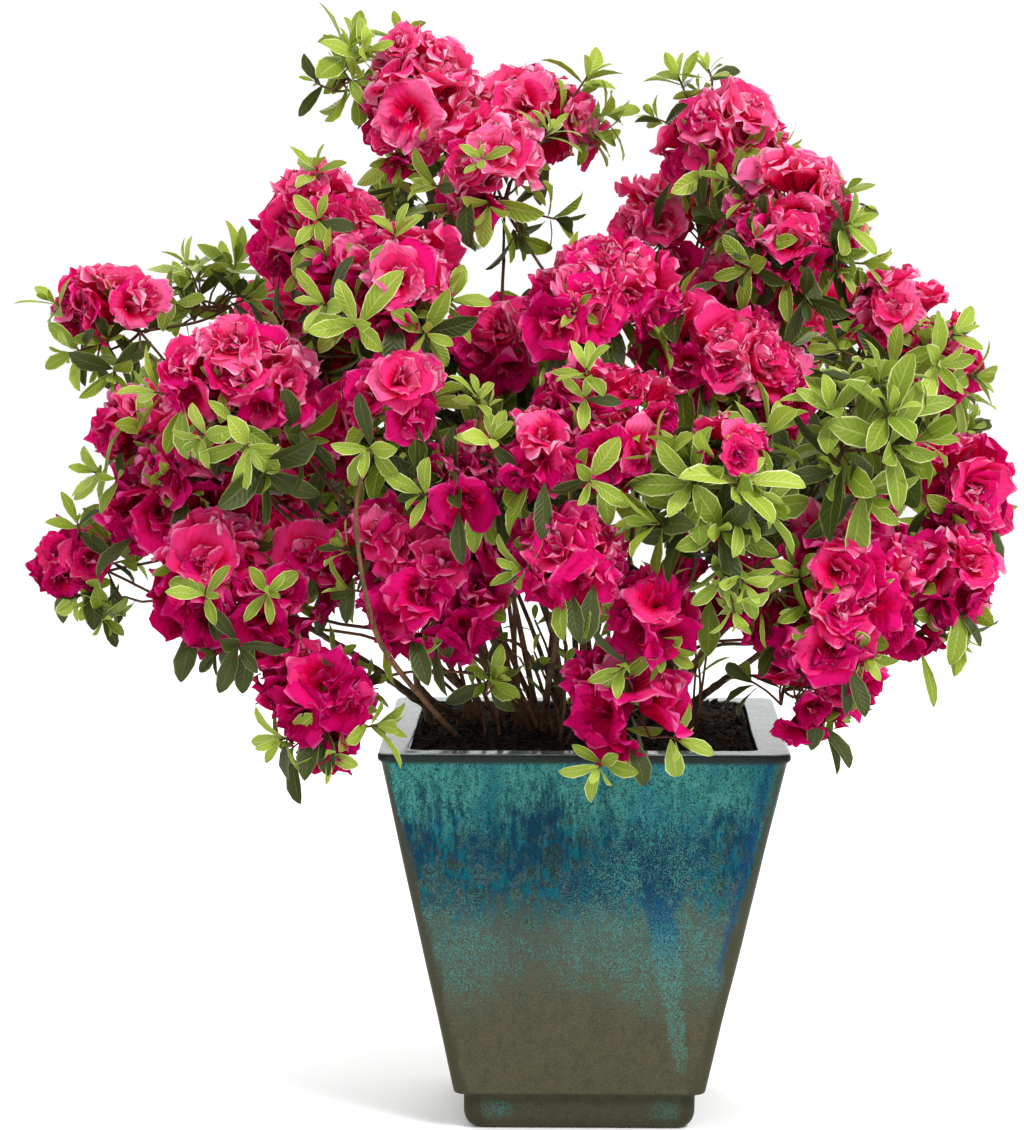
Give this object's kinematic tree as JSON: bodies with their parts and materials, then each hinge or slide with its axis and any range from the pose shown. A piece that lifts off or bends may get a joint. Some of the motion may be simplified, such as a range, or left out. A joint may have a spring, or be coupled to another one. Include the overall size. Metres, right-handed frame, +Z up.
{
  "type": "azalea shrub in a planter",
  "caption": "Evergreen azalea shrub in full crimson-pink bloom, a loose many-stemmed crown over a tapered square glazed planter that stands on its flat foot.",
  "frame": {"origin": "middle of the flat underside of the planter's foot", "axes": "+Z up, -Y out of the planter's front face as pictured, +X to the right seen from the front"},
  "size_m": [1.028, 0.7596, 1.1139],
  "materials": {
    "glaze": "gloss",
    "soil": "matte",
    "bark": "matte",
    "foliage": "matte",
    "blossom": "matte"
  },
  "bodies": {
    "root": {"planter": "glaze", "soil": "soil", "blossom_crest_left": "blossom", "leaves_crest_left_tip": "foliage", "blossom_crest_back": "blossom", "blossom_crest_front": "blossom", "blossom_shoulder_left": "blossom", "leaves_shoulder_back": "foliage", "blossom_breast_left": "blossom", "blossom_far_left": "blossom", "leaves_left_high": "foliage", "blossom_left_front": "blossom", "blossom_left_mid": "blossom", "leaves_left_back": "foliage", "blossom_left_skirt": "blossom", "blossom_left_reach": "blossom", "blossom_low_left": "blossom", "leaves_heart": "foliage", "blossom_heart_left": "blossom", "blossom_centre_left": "blossom", "blossom_front_left": "blossom", "blossom_centre_high": "blossom", "blossom_centre_front": "blossom", "blossom_centre_low": "blossom", "blossom_centre_low_right": "blossom", "leaves_low_front": "foliage", "blossom_over_rim": "blossom", "blossom_crest_right": "blossom", "blossom_crest_right_back": "blossom", "blossom_shoulder_right": "blossom", "blossom_right_mid": "blossom", "leaves_heart_right": "foliage", "leaves_front_right": "foliage", "blossom_far_right_high": "blossom", "leaves_right_front": "foliage", "leaves_right_back": "foliage", "blossom_far_right": "blossom", "blossom_far_right_low": "blossom", "blossom_right_low": "blossom", "blossom_skirt_right": "blossom", "blossom_back_left_high": "blossom", "leaves_back_middle": "foliage", "blossom_back_right_high": "blossom", "blossom_back_left_low": "blossom", "blossom_back_middle_low": "blossom", "blossom_back_right_low": "blossom", "stem_low_left": "bark", "stem_left": "bark", "stem_back_left": "bark", "stem_middle_left": "bark", "stem_middle": "bark", "stem_middle_front": "bark", "stem_back": "bark", "stem_middle_right": "bark", "stem_right": "bark", "stem_back_right": "bark", "bough_crest": "bark", "bough_crest_right": "bark", "bough_far_left": "bark", "bough_reach": "bark"}
  },
  "joints": []
}
